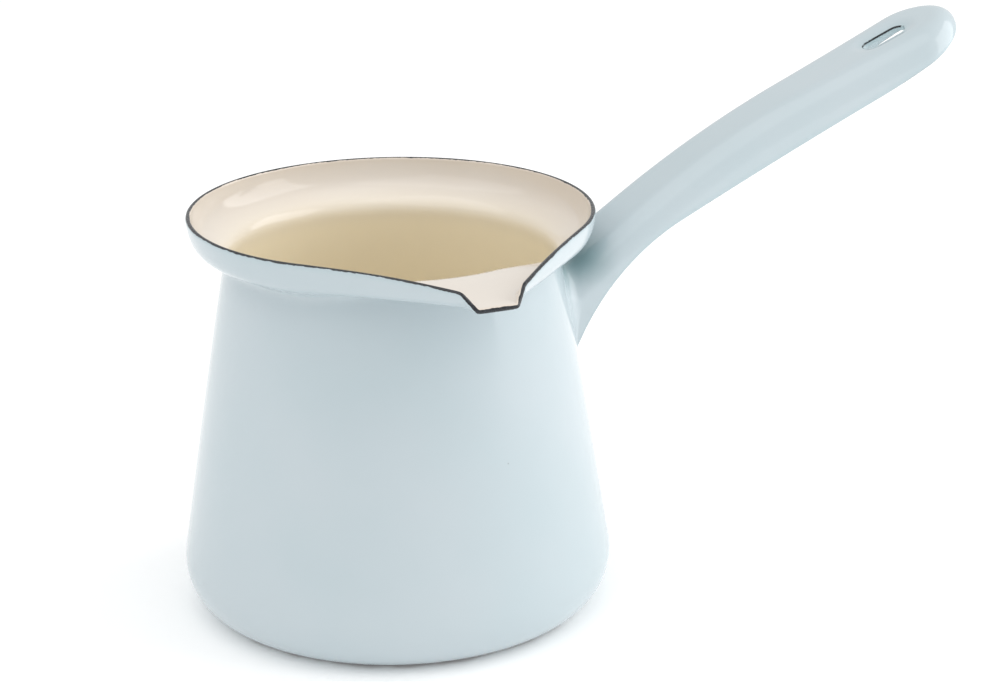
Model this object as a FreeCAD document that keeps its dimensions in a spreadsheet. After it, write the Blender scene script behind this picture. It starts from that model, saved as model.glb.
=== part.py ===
"""Long-handled melting pot of pressed steel, vitreous enamelled.

Millimetres, +Z up. The origin is the centre of the face that the pot stands on,
the handle points along +X and the pouring lip along -Y.

The pot is one deep-drawn steel shell whose flared rim is pressed out into a lip.
The handle is an inverted channel pressed from sheet, with a slot to hang it by,
and its root is butted to the wall and welded. Enamel covers the steel in coats:
a blue cover coat outside, a cream one inside, and dark ground coat where the
cover stops, at the rim, at the handle's cut edges and on the base.
"""
import FreeCAD, Part
import math
import os
import Sketcher

from FreeCAD import Placement, Rotation, Vector

doc = FreeCAD.newDocument("melting_pot")

# ---------------------------------------------------------------- driving sizes
SIZES = [
    # the finished outside of the pot
    ("rim_radius", 50.0, "outside of the flared rim, away from the lip"),
    ("pot_height", 101.0, "base to top of rim"),
    ("foot_radius", 55.8, "where the straight wall would meet the base plane"),
    ("neck_radius", 41.0, "under the flare"),
    ("flare_height", 10.6, "from the neck's corner up to the rim"),
    ("upturn_height", 6.6, "height of the nearly upright edge of the flare"),
    ("corner_reach", 13.3, "bottom corner, measured along the base"),
    ("corner_rise", 14.6, "bottom corner, measured up the wall"),
    ("wall_bow", 0.4, "how far the straight wall bulges at mid height"),
    ("neck_blend", 8.0, "end of the straight wall, below the neck's corner"),
    ("neck_bend", 3.0, "softness of the neck's corner"),
    ("upturn_lean", 0.3, "how far the upright edge leans out over its height"),
    # the pouring lip
    ("lip_shoulder_reach", 64.0, "axis to the shoulders of the lip"),
    ("lip_shoulder_half", 8.2, "half the width between the shoulders"),
    ("lip_shoulder_drop", 2.0, "shoulders below the rim"),
    ("lip_end_reach", 67.0, "axis to the end of the trough"),
    ("lip_end_half", 5.2, "half the width of the trough's flat floor"),
    ("lip_corner_round", 1.5, "softness of the corners of the lip"),
    ("lip_lean", 2.6, "how much further the edge leans out at the end of the lip"),
    ("lip_neck_bend", 4.5, "softness of the neck's corner under the lip"),
    ("lip_spread", 8.0, "degrees beyond the lip's tangent where the neck starts to rise"),
    ("lip_core", 14.0, "degrees from the middle of the lip where the neck has risen"),
    # sheet and coats
    ("pot_sheet", 0.8, "steel of the pot"),
    ("handle_sheet", 1.0, "steel of the handle"),
    ("coat", 0.25, "each coat of enamel"),
    ("rim_band_depth", 0.9, "how far down the rim the bare ground coat shows"),
    # the handle, whose side view is two straight runs joined by one arc, above and below
    ("handle_reach", 157.5, "axis to the tip of the handle"),
    ("crest_drop", 21.6, "crest of the root below the rim, at the neck radius"),
    ("root_depth", 24.0, "crest to feet, at the neck radius"),
    ("crest_root_angle", 34.4, "rise of the crest at the root, degrees"),
    ("crest_tip_angle", 22.6, "rise of the crest at the tip, degrees"),
    ("crest_run", 45.0, "neck radius to the corner between the crest's two runs"),
    ("crest_bend", 250.0, "radius of the crest's arc"),
    ("foot_angle", 65.0, "rise of the lower edges at the root, degrees"),
    ("edge_angle", 25.2, "rise of the lower edges along the grip, degrees"),
    ("foot_run", 12.6, "neck radius to the corner between the two lower runs"),
    ("edge_bend", 62.0, "radius of the arc between the lower runs"),
    ("tip_lift_run", 28.0, "length of the stretch where the lower edges curl up"),
    ("tip_lift", 4.0, "how far the lower edges curl up at the tip"),
    ("root_width", 27.0, "width of the handle where its form starts, inside the wall"),
    ("grip_width", 22.5, "width of the handle at its slimmest"),
    ("grip_place", 50.0, "neck radius to the slimmest place"),
    ("tip_width", 30.0, "width of the rounded tip"),
    ("edge_round", 6.8, "radius of the channel's long bends"),
    ("hole_length", 12.4, "hanging slot, end to end"),
    ("hole_width", 5.0, "hanging slot, side to side"),
    ("hole_setback", 19.9, "tip to the middle of the slot"),
    ("weld_leg", 1.2, "size of the weld bead round the root"),
]
sheet = doc.addObject("Spreadsheet::Sheet", "sizes")
for row, (alias, value, note) in enumerate(SIZES, start=1):
    sheet.set("A%d" % row, alias)
    sheet.set("B%d" % row, repr(value))
    sheet.set("C%d" % row, note)
    sheet.setAlias("B%d" % row, alias)
doc.recompute()


def size(alias):
    return float(sheet.get(alias))


# ------------------------------------------------------------- the pot's surfaces
# The outside is a grid of points, one column for each direction round the axis and
# one row for each distance up the wall. A deeper skin is the same grid moved inward
# along its normals, and each sheet or coat is the space between two skins.
RIM_Z = size("pot_height")
NECK_Z = RIM_Z - size("flare_height")
FLANGE_Z = RIM_Z - size("upturn_height")
FLARE_START = NECK_Z - size("neck_blend")
# the flange is straight up to this share of its length, then bends up into the rim
FLANGE_STRAIGHT, LIP_FLANGE_STRAIGHT = 0.15, 0.6
# how the edge drops on its way to the lip's shoulder: (share of the way, share of the drop)
SHOULDER_DROPS = ((0.25, 0.0), (0.5, 0.1), (0.75, 0.45))
# rows up the wall and columns round it
CORNER_STEPS = 8
WALL_STEPS = 7
FLARE_STEPS = 14
CIRCLE_STEPS = 54
LIP_STEPS = 80


def wall_radius(height):
    """Outside radius of the nearly straight wall."""
    share = height / NECK_Z
    lean = (size("foot_radius") - size("neck_radius")) * share
    return size("foot_radius") - lean + size("wall_bow") * 4 * share * (1 - share)


def smooth_step(share):
    share = min(max(share, 0.0), 1.0)
    return share * share * (3 - 2 * share)


def lip_edge():
    """Outside edge of the lip, from where it leaves the rim's circle round to the far side.

    The edge leaves the circle along a tangent, drops off the shoulder and crosses the end.
    """
    reach, half = size("lip_shoulder_reach"), size("lip_shoulder_half")
    shoulder_angle = math.atan2(half, reach)
    leave_angle = shoulder_angle + math.acos(size("rim_radius") / math.hypot(reach, half))
    leave = Vector(math.sin(leave_angle), -math.cos(leave_angle), 0) * size("rim_radius")
    leave.z = RIM_Z
    shoulder = Vector(half, -reach, RIM_Z - size("lip_shoulder_drop"))
    corner = Vector(size("lip_end_half"), -size("lip_end_reach"), FLANGE_Z)
    middle = Vector(0, -size("lip_end_reach"), FLANGE_Z)
    bend = size("lip_corner_round")
    level = Vector(shoulder.x - leave.x, shoulder.y - leave.y, 0)
    side = [leave]
    for share, drop in SHOULDER_DROPS:
        side.append(leave + level * share - Vector(0, 0, size("lip_shoulder_drop") * drop))
    side += [shoulder + (side[-1] - shoulder).normalize() * bend, shoulder]
    side += [shoulder + (corner - shoulder).normalize() * bend]
    side += [corner + (shoulder - corner).normalize() * bend, corner]
    side += [corner + (middle - corner).normalize() * bend]
    far_side = [Vector(-point.x, point.y, point.z) for point in reversed(side)]
    edge = Part.BSplineCurve()
    edge.buildFromPoles(side + [middle] + far_side, False, 3)
    return edge, leave_angle


def rim_points():
    """Points round the outside of the rim, from the middle of the back and back to it."""
    edge, leave_angle = lip_edge()
    circle = []
    for step in range(CIRCLE_STEPS // 2):
        angle = math.pi + (leave_angle - math.pi) * step / (CIRCLE_STEPS // 2)
        reach = size("rim_radius")
        circle.append(Vector(reach * math.sin(angle), -reach * math.cos(angle), RIM_Z))
    lip = edge.discretize(Number=LIP_STEPS + 1)
    far_side = [Vector(-point.x, point.y, point.z) for point in reversed(circle)]
    return circle + lip + far_side, leave_angle


def flare_curve(rim_point, leave_angle):
    """Profile from the wall over the neck and out to one point of the rim."""
    reach = math.hypot(rim_point.x, rim_point.y)
    out = Vector(rim_point.x / reach, rim_point.y / reach, 0)
    angle = math.acos(min(max(-out.y, -1.0), 1.0))
    # round the lip the neck's bend rises until the flange runs level to the trough
    spread = leave_angle + math.radians(size("lip_spread"))
    lipward = smooth_step((spread - angle) / (spread - math.radians(size("lip_core"))))
    neck_z = NECK_Z + (FLANGE_Z - NECK_Z) * lipward
    neck_leg = size("neck_bend") + (size("lip_neck_bend") - size("neck_bend")) * lipward
    straight = FLANGE_STRAIGHT + (LIP_FLANGE_STRAIGHT - FLANGE_STRAIGHT) * lipward
    upright = (rim_point.z - FLANGE_Z) / size("upturn_height")
    inset = size("upturn_lean") + size("lip_lean") * (1 - upright)

    def on_wall(height):
        return out * wall_radius(height) + Vector(0, 0, height)

    neck = on_wall(neck_z)
    knee = out * (reach - inset) + Vector(0, 0, FLANGE_Z)
    flange = knee - neck
    to_knee = flange / flange.Length
    past_neck = neck + to_knee * neck_leg
    before_knee = past_neck + (knee - past_neck) * straight
    wall_end = FLARE_START + (NECK_Z - size("neck_bend") - FLARE_START) / 2
    poles = [on_wall(FLARE_START), on_wall(wall_end), on_wall(neck_z - neck_leg)]
    poles += [neck, past_neck, before_knee, knee, rim_point]
    curve = Part.BSplineCurve()
    curve.buildFromPoles(poles, False, 3)
    return curve


def outside_grid():
    """Columns of points up the outside, each from the flat base to the rim."""
    rim, leave_angle = rim_points()
    columns = []
    for rim_point in rim:
        reach = math.hypot(rim_point.x, rim_point.y)
        out = Vector(rim_point.x / reach, rim_point.y / reach, 0)
        column = []
        for step in range(CORNER_STEPS):
            turn = math.pi / 2 * step / CORNER_STEPS
            height = size("corner_rise") * (1 - math.cos(turn))
            radius = wall_radius(height) - size("corner_reach") * (1 - math.sin(turn))
            column.append(out * radius + Vector(0, 0, height))
        for step in range(WALL_STEPS):
            height = size("corner_rise")
            height += (FLARE_START - height) * step / WALL_STEPS
            column.append(out * wall_radius(height) + Vector(0, 0, height))
        curve = flare_curve(rim_point, leave_angle)
        length = curve.length()
        to_band = length - size("rim_band_depth")
        stops = [to_band * step / FLARE_STEPS for step in range(FLARE_STEPS + 1)]
        stops += [length - size("coat"), length]
        for stop in stops:
            parameter = curve.parameterAtDistance(stop, curve.FirstParameter)
            column.append(curve.value(parameter))
        columns.append(column)
    return columns


def skin_grid(depth):
    """The outside grid moved inward by depth, along the normals."""
    columns = []
    count = len(OUTSIDE) - 1  # the last column repeats the first
    for index in range(count + 1):
        here = OUTSIDE[index]
        before = OUTSIDE[(index - 1) % count]
        after = OUTSIDE[(index + 1) % count]
        column = []
        for row, point in enumerate(here):
            if row == 0:
                column.append(point + Vector(0, 0, depth))
                continue
            up = here[min(row + 1, len(here) - 1)] - here[row - 1]
            across = after[row] - before[row]
            inward = across.cross(up)
            column.append(point + inward / inward.Length * depth)
        columns.append(column)
    return columns


def spaced(points, end=1.0):
    """Parameters for points, in proportion to the distances between them."""
    reached = [0.0]
    for before, after in zip(points, points[1:]):
        reached.append(reached[-1] + (after - before).Length)
    return [end * distance / reached[-1] for distance in reached]


def through(points, parameters, closed=False):
    curve = Part.BSplineCurve()
    curve.interpolate(Points=points, PeriodicFlag=closed, Parameters=parameters)
    return curve


class Skin:
    """One closed smooth surface of the pot, through a grid of points."""

    def __init__(self, depth):
        grid = skin_grid(depth)
        # the rows are closed curves, and their poles are joined up the wall
        rings = [through(list(row[:-1]), ROUND, closed=True) for row in zip(*grid)]
        uprights = [through(list(poles), UP) for poles in zip(*[ring.getPoles() for ring in rings])]
        self.surface = Part.BSplineSurface()
        self.surface.buildFromPolesMultsKnots(
            [upright.getPoles() for upright in uprights],
            rings[0].getMultiplicities(), uprights[0].getMultiplicities(),
            rings[0].getKnots(), uprights[0].getKnots(), True, False, 3, 3)

    def ring(self, row):
        """The closed edge round the pot at one row."""
        return self.surface.vIso(UP[row]).toShape()

    def wall(self, low_row, high_row):
        return self.surface.toShape(0, 1, UP[low_row], UP[high_row])


BASE_ROW = 0
RIM_ROW = CORNER_STEPS + WALL_STEPS + FLARE_STEPS + 2
STEEL_TOP_ROW = RIM_ROW - 1
BAND_ROW = RIM_ROW - 2


def closed_solid(faces):
    shell = Part.makeShell(faces)
    shell.sewShape()
    solid = Part.makeSolid(shell)
    if solid.Volume < 0:
        solid.reverse()
    return solid


def flat_disc(edge):
    return Part.Face(Part.Wire([edge]))


def around_pot(*stops):
    """Solid whose section is a loop of stops, each a skin and one of its rows.

    Between two stops on one skin lies that skin's wall, and between skins a narrow strip.
    """
    faces = []
    for (skin, row), (next_skin, next_row) in zip(stops, stops[1:] + stops[:1]):
        if skin is next_skin:
            faces.append(skin.wall(min(row, next_row), max(row, next_row)))
        else:
            faces.append(Part.makeRuledSurface(skin.ring(row), next_skin.ring(next_row)))
    return closed_solid(faces)


def cup(outer, inner, top_row):
    """Solid between two skins, with its floor."""
    faces = [outer.wall(BASE_ROW, top_row), flat_disc(outer.ring(BASE_ROW))]
    faces += [inner.wall(BASE_ROW, top_row), flat_disc(inner.ring(BASE_ROW))]
    faces.append(Part.makeRuledSurface(outer.ring(top_row), inner.ring(top_row)))
    return closed_solid(faces)


def filled(skin):
    """Everything inside a skin and above the mouth, for cutting other pieces back to it."""
    above_mouth = Vector(0, 0, RIM_Z * 1.3)
    lid = Part.Circle(above_mouth, Vector(0, 0, 1), size("rim_radius") / 2).toShape()
    lid.rotate(Vector(0, 0, 0), Vector(0, 0, 1), 90)
    faces = [skin.wall(BASE_ROW, RIM_ROW), flat_disc(skin.ring(BASE_ROW)), flat_disc(lid)]
    faces.append(Part.makeRuledSurface(skin.ring(RIM_ROW), lid))
    return closed_solid(faces)


OUTSIDE = outside_grid()
ROUND = spaced([column[RIM_ROW] for column in OUTSIDE])
UP = spaced(OUTSIDE[0])
COAT = size("coat")
SHEET = size("pot_sheet")
finish = Skin(0.0)
steel_outside = Skin(COAT)
steel_inside = Skin(COAT + SHEET)
lining = Skin(2 * COAT + SHEET)


def add_shape(name, shape):
    feature = doc.addObject("Part::Feature", name)
    feature.Shape = shape
    feature.Placement = Placement()
    return feature


pot_core = add_shape("pot_core", filled(steel_outside))
pot_shell = add_shape("pot_shell", cup(steel_outside, steel_inside, STEEL_TOP_ROW))
pot_lining_coat = add_shape("pot_lining_coat", cup(steel_inside, lining, BAND_ROW))
cover_blank = add_shape("cover_blank", around_pot(
    (finish, BASE_ROW), (finish, BAND_ROW), (steel_outside, BAND_ROW), (steel_outside, BASE_ROW)))
rim_ground_band = add_shape("rim_ground_band", around_pot(
    (finish, BAND_ROW), (finish, RIM_ROW), (lining, RIM_ROW), (lining, BAND_ROW),
    (steel_inside, BAND_ROW), (steel_inside, STEEL_TOP_ROW),
    (steel_outside, STEEL_TOP_ROW), (steel_outside, BAND_ROW)))


# ------------------------------------------------------------------ the handle
# The handle's form is a solid block in the shape of the finished outside: its side
# view padded across, its waist cut in plan and its long edges rounded. Each sheet or
# coat of the channel is the space between two such forms, one inside the other.
def plane_of(body, role):
    return next(item for item in body.Origin.OriginFeatures if item.Role == role)


def place_given_by(sketch, formulas):
    """The point at which two expressions put a corner, with the sizes as they stand."""
    across, up = (float(sketch.evalExpression(formula)) for formula in formulas)
    return Vector(across, up, 0)


def place_point(sketch, name, geometry, end, formulas):
    """Hold one point of a sketch at a place given by two expressions."""
    now = place_given_by(sketch, formulas)
    for kind, formula, value in zip(("DistanceX", "DistanceY"), formulas, now):
        place = sketch.addConstraint(Sketcher.Constraint(kind, -1, 1, geometry, end, value))
        sketch.renameConstraint(place, kind + name)
        sketch.setExpression("Constraints." + kind + name, formula)


def outline_sketch(body, name, role, corners, arc_through=None):
    """Closed outline with every corner placed by expressions, as (across, up) pairs.

    Its sides are straight, but the first is an arc where arc_through gives a point of it.
    """
    sketch = body.newObject("Sketcher::SketchObject", name)
    sketch.AttachmentSupport = [(plane_of(body, role), "")]
    sketch.MapMode = "FlatFace"
    count = len(corners)
    # it is drawn where the expressions will hold it, so that the solver has nothing to move
    drawn = [place_given_by(sketch, formulas) for formulas in corners]
    for start, end in zip(drawn, drawn[1:] + drawn[:1]):
        side = Part.LineSegment(start, end)
        if arc_through and start is drawn[0]:
            side = Part.Arc(start, place_given_by(sketch, arc_through), end)
        sketch.addGeometry(side, False)
    for step in range(count):
        sketch.addConstraint(Sketcher.Constraint("Coincident", step, 2, (step + 1) % count, 1))
    for step, formulas in enumerate(corners):
        place_point(sketch, str(step), step, 1, formulas)
    if arc_through:
        point = sketch.addGeometry(Part.Point(place_given_by(sketch, arc_through)), True)
        sketch.addConstraint(Sketcher.Constraint("PointOnObject", point, 1, 0))
        place_point(sketch, "through", point, 1, arc_through)
    return sketch


def padded(body, sketch, length):
    pad = body.newObject("PartDesign::Pad", sketch.Name + "_pad")
    pad.Profile = sketch
    pad.SideType = "Symmetric"
    pad.setExpression("Length", length)
    return pad


def rounded(body, base, name, radius, wanted):
    """Fillet on the edges of base that wanted picks."""
    doc.recompute()
    fillet = body.newObject("PartDesign::Fillet", name)
    edges = enumerate(base.Shape.Edges, start=1)
    picked = ["Edge%d" % number for number, edge in edges if wanted(edge)]
    if not picked:
        raise RuntimeError("no edge to round for " + name)
    fillet.Base = (base, picked)
    fillet.setExpression("Radius", radius)
    return fillet


NECK = "sizes.neck_radius"
INSIDE = NECK + " * 0.75"
FAR_INSIDE = NECK + " * 0.6"
PAST_TIP = "sizes.handle_reach + 6"
CREST_Z = "sizes.pot_height - sizes.crest_drop"
CREST_CORNER_Z = CREST_Z + " + sizes.crest_run * tan(sizes.crest_root_angle * 1deg)"
CREST_TIP_Z = CREST_CORNER_Z + (" + (sizes.handle_reach - sizes.neck_radius - sizes.crest_run)"
                                " * tan(sizes.crest_tip_angle * 1deg)")
FOOT_Z = CREST_Z + " - sizes.root_depth"
FOOT_CORNER_Z = FOOT_Z + " + sizes.foot_run * tan(sizes.foot_angle * 1deg)"
LIFT_Z = FOOT_CORNER_Z + (" + (sizes.handle_reach - sizes.tip_lift_run - sizes.neck_radius"
                          " - sizes.foot_run) * tan(sizes.edge_angle * 1deg)")
TIP_Z = LIFT_Z + " + sizes.tip_lift_run * tan(sizes.edge_angle * 1deg) + sizes.tip_lift"
PAST_TIP_Z = TIP_Z + " + 6 * tan(sizes.edge_angle * 1deg) + 1"
FAR_INSIDE_Z = FOOT_Z + " - sizes.neck_radius * 0.4 * tan(sizes.foot_angle * 1deg)"

form = doc.addObject("PartDesign::Body", "handle_form")
side_view = outline_sketch(form, "side_view", "XZ_Plane", [
    (INSIDE, CREST_Z + " - sizes.neck_radius / 4 * tan(sizes.crest_root_angle * 1deg)"),
    (INSIDE, FOOT_Z + " - 30"),
    (NECK + " + sizes.foot_run", FOOT_CORNER_Z + " - 12"),
    ("sizes.handle_reach", TIP_Z + " - 12"),
    ("sizes.handle_reach", CREST_TIP_Z),
    (NECK + " + sizes.crest_run", CREST_CORNER_Z),
])
side_pad = padded(form, side_view, "max(sizes.root_width; sizes.tip_width) + 4")


def middle(edge):
    return edge.valueAt((edge.FirstParameter + edge.LastParameter) / 2)


def crest_bend(edge):
    point = middle(edge)
    corner_x = size("neck_radius") + size("crest_run")
    return abs(point.x - corner_x) < 0.01 and abs(point.y) < 0.01 and point.z > size("pot_height")


crest_arc = rounded(form, side_pad, "crest_arc", "sizes.crest_bend", crest_bend)

# plan view: what is cut away beside the waist, on one side and mirrored to the other
OUTER_Y = "max(sizes.root_width; sizes.tip_width)"
waist_view = outline_sketch(form, "waist_view", "XY_Plane", [
    (INSIDE, "sizes.root_width / 2"),
    ("sizes.handle_reach", "sizes.tip_width / 2"),
    ("sizes.handle_reach", OUTER_Y),
    (INSIDE, OUTER_Y),
], arc_through=(NECK + " + sizes.grip_place", "sizes.grip_width / 2"))
waist = form.newObject("PartDesign::Pocket", "waist")
waist.Profile = waist_view
waist.SideType = "Symmetric"
waist.setExpression("Length", "sizes.pot_height * 4")
both_sides = form.newObject("PartDesign::Mirrored", "both_sides")
both_sides.Originals = [waist]
both_sides.MirrorPlane = (plane_of(form, "XZ_Plane"), [""])
form.Tip = both_sides
doc.recompute()


def upright_at(place):
    """Picks the upright edges that stand at this distance from the axis."""
    def wanted(edge):
        ends = edge.Vertexes
        upright = abs(ends[0].X - ends[-1].X) < 0.01 and abs(ends[0].Y - ends[-1].Y) < 0.01
        return upright and abs(middle(edge).x - place) < 0.01
    return wanted


at_tip = upright_at(size("handle_reach"))
round_tip = rounded(form, both_sides, "round_tip", "sizes.tip_width * 0.45", at_tip)


def crest_height(place):
    """Height of the crest's two straight runs, at a distance from the axis."""
    run = place - size("neck_radius")
    to_corner = min(run, size("crest_run"))
    past_corner = run - to_corner
    height = size("pot_height") - size("crest_drop")
    height += to_corner * math.tan(math.radians(size("crest_root_angle")))
    return height + past_corner * math.tan(math.radians(size("crest_tip_angle")))


def along_top(edge):
    """Picks the edges round the crest, all but the one across the root.

    The crest's arc and round tip stray from the straight runs by a millimetre or two.
    """
    point = middle(edge)
    stray = size("handle_sheet") * 2.5
    near_crest = abs(crest_height(point.x) - point.z) < stray
    across = abs(point.y) < 1.0 and point.x < size("handle_reach") - 1.0
    return near_crest and not across


long_rounds = rounded(form, round_tip, "long_rounds", "sizes.edge_round", along_top)


def offset_form(name, depth):
    """The handle's form shrunk all over by depth, or grown where it is negative."""
    offset = doc.addObject("Part::Offset", name)
    offset.Source = form
    offset.setExpression("Value", "-(" + depth + ")")
    offset.Mode = "Skin"
    offset.Join = "Arc"
    return offset


steel_form = offset_form("handle_steel_form", "sizes.coat")
hollow_form = offset_form("handle_hollow_form", "sizes.coat + sizes.handle_sheet")
lined_form = offset_form("handle_lined_form", "2 * sizes.coat + sizes.handle_sheet")
weld_form = offset_form("handle_weld_form", "-sizes.weld_leg")


def below_edges(name, lift):
    """Everything below the channel's lower edges, raised by lift."""
    body = doc.addObject("PartDesign::Body", name)
    view = outline_sketch(body, name + "_view", "XZ_Plane", [
        ("sizes.handle_reach - sizes.tip_lift_run", LIFT_Z + lift),
        (PAST_TIP, PAST_TIP_Z + lift),
        (PAST_TIP, "-5"),
        (FAR_INSIDE, "-5"),
        (FAR_INSIDE, FAR_INSIDE_Z + lift),
        (NECK + " + sizes.foot_run", FOOT_CORNER_Z + lift),
    ], arc_through=("sizes.handle_reach - sizes.tip_lift_run / 2",
                    LIFT_Z + " + sizes.tip_lift_run / 2 * tan(sizes.edge_angle * 1deg)"
                    " + sizes.tip_lift / 4" + lift))
    pad = padded(body, view, "sizes.tip_width * 3")
    corner_x = size("neck_radius") + size("foot_run")

    def foot_bend(edge):
        point = middle(edge)
        return abs(point.x - corner_x) < 0.01 and abs(point.y) < 0.01

    rounded(body, pad, name + "_arc", "sizes.edge_bend", foot_bend)
    return body


below = below_edges("below_edges", "")
below_band = below_edges("below_band", " + sizes.coat")


def cut(name, base, *tools):
    """Base with each tool taken away, one after the other."""
    for number, tool in enumerate(tools, start=1):
        step_name = name if number == len(tools) else "%s_cut%d" % (name, number)
        step = doc.addObject("Part::Cut", step_name)
        step.Base = base
        step.Tool = tool
        base = step
    return base


def common(name, first, second):
    both = doc.addObject("Part::Common", name)
    both.Base = first
    both.Tool = second
    return both


def slot_tool(name, grow):
    """Upright prism on the crest with round ends, for the slot that the handle hangs by.

    Its sketch lies one handle's reach from the body's origin, so no distance is negative.
    """
    body = doc.addObject("PartDesign::Body", name)
    low, high = "sizes.handle_reach - %s / 2 - " + grow, "sizes.handle_reach + %s / 2 + " + grow
    start, end = low % "sizes.hole_length", high % "sizes.hole_length"
    near, far = low % "sizes.hole_width", high % "sizes.hole_width"
    corners = [(start, near), (end, near), (end, far), (start, far)]
    view = outline_sketch(body, name + "_view", "XY_Plane", corners)
    pad = padded(body, view, "sizes.tip_width / 2")

    def through_pad(edge):
        return abs(edge.Vertexes[0].Z - edge.Vertexes[-1].Z) > 1

    round_end = "(sizes.hole_width / 2 + " + grow + ") * 0.98"
    rounded(body, pad, name + "_ends", round_end, through_pad)
    tilt = Rotation(Vector(0, 1, 0), -size("crest_tip_angle"))
    slot_x = size("handle_reach") - size("hole_setback")
    centre = Vector(slot_x, 0, crest_height(slot_x))
    drawn_at = Vector(size("handle_reach"), size("handle_reach"), 0)
    body.Placement = Placement(centre - tilt.multVec(drawn_at), tilt)
    return body


slot = slot_tool("slot", "0")
slot_edge = slot_tool("slot_edge", "sizes.coat")

channel_all = cut("channel_all", form, lined_form, below, pot_core)
handle_channel = cut("handle_channel", steel_form, hollow_form, below_band, pot_core, slot_edge)
handle_cover_coat = cut("handle_cover_coat", form, steel_form, below_band, pot_core, slot_edge)
handle_lining_coat = cut("handle_lining_coat", hollow_form, lined_form, below_band, pot_core, slot_edge)
handle_ground_edge = common("handle_ground_edge", channel_all, below_band)
slot_ground_edge = cut("slot_ground_edge", common("slot_wall", channel_all, slot_edge), slot)
pot_cover_coat = cut("pot_cover_coat", cover_blank, channel_all)

grown = Skin(-size("weld_leg"))
round_pot = add_shape("round_pot", around_pot(
    (grown, BASE_ROW), (grown, BAND_ROW), (finish, BAND_ROW), (finish, BASE_ROW)))
root_weld = cut("root_weld", common("bead_blank", weld_form, round_pot), form, below)

base_ground_coat = doc.addObject("Part::Cylinder", "base_ground_coat")
base_ground_coat.setExpression("Radius", "sizes.foot_radius - sizes.corner_reach")
base_ground_coat.setExpression("Height", "sizes.coat")


# ------------------------------------------------------------- check and write out
PIECES = {
    "pot_shell": pot_shell,
    "handle_channel": handle_channel,
    "root_weld": root_weld,
    "pot_cover_coat": pot_cover_coat,
    "pot_lining_coat": pot_lining_coat,
    "rim_ground_band": rim_ground_band,
    "base_ground_coat": base_ground_coat,
    "handle_cover_coat": handle_cover_coat,
    "handle_lining_coat": handle_lining_coat,
    "handle_ground_edge": handle_ground_edge,
    "slot_ground_edge": slot_ground_edge,
}
doc.recompute()
for item in doc.Objects:
    if "Invalid" in item.State or "Error" in item.State:
        raise RuntimeError("%s failed: %s" % (item.Label, item.State))

os.makedirs("parts", exist_ok=True)
for label, piece in PIECES.items():
    piece.Label = label
    shape = piece.Shape
    if shape.isNull() or not shape.isValid() or len(shape.Solids) != 1:
        raise RuntimeError(label + " is not one valid solid")
    shape.exportStep("parts/%s.step" % label)
    print("%-20s %9.1f mm3" % (label, shape.Volume))
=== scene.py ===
# %% [markdown]
# # An enamelled melting pot
#
# A melting pot is pressed from thin steel and then dipped, sprayed and fired several
# times in glass. What the eye meets is the glass: a blue coat outside, a cream one
# inside, and a dark ground coat that shows as a fine line wherever both of them stop.
#
# The pot and its handle could be modelled with a lathe curve and a few modifiers. They
# are made here as grids of points worked out from formulas, because a gloss surface
# shows every dent: a grid gives even, flowing quads that reflect cleanly.

# %% Load the frame
import math

import bmesh
import bpy
from mathutils import Matrix, Vector


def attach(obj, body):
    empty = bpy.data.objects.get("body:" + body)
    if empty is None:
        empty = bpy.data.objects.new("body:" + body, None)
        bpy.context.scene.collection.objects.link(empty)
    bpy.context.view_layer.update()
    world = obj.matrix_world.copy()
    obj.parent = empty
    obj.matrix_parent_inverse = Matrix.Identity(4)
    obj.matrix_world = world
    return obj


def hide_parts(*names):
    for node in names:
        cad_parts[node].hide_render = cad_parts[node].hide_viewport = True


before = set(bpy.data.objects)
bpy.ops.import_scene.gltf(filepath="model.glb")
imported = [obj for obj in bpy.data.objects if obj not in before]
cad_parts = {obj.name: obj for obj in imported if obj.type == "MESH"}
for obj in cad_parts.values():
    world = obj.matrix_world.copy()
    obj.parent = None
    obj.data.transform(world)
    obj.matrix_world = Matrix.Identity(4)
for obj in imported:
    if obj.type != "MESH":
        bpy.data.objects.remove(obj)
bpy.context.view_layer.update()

# %% [markdown]
# ## Sizes
#
# Everything below is in millimetres, and only the last step of a mesh turns them into
# Blender's metres. The sizes are those of the real pot: a coat of enamel is a quarter
# of a millimetre thick, and the steel under it just under one.

# %% Sizes of the pot
MM = 0.001
FOOT_RADIUS, NECK_RADIUS, RIM_RADIUS = 55.8, 41.0, 50.0
RIM_Z = 101.0
NECK_Z = RIM_Z - 10.6
FLANGE_Z = RIM_Z - 6.6
WALL_TOP_Z = NECK_Z - 8.0
WALL_BOW = 0.4
CORNER_REACH, CORNER_RISE = 13.3, 14.6
COAT = 0.25
POT_SHEET = 0.8
POT_WALL = POT_SHEET + 2 * COAT
ROLL = POT_WALL / 2
print("wall of the pot", POT_WALL, "mm, rim rolled to a radius of", ROLL, "mm")

# %% Sizes of the pouring lip
LIP_SHOULDER = Vector((8.2, -64.0, RIM_Z - 2.0))
LIP_CORNER = Vector((5.2, -67.0, FLANGE_Z))
LIP_BEND = 1.5
LIP_LEAN = 2.6
UPTURN_LEAN = 0.3
LIP_SPREAD, LIP_CORE = math.radians(8), math.radians(14)

# %% [markdown]
# ## Two helpers for curves
#
# A B-spline is the curve that a draughtsman's bent lath makes: it is pulled towards its
# control points and stays smooth. Blender has them as NURBS curves, but here a point of
# the curve is needed as a number, so a few lines work it out directly. Points at even
# distances along the curve keep the quads even.


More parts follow.
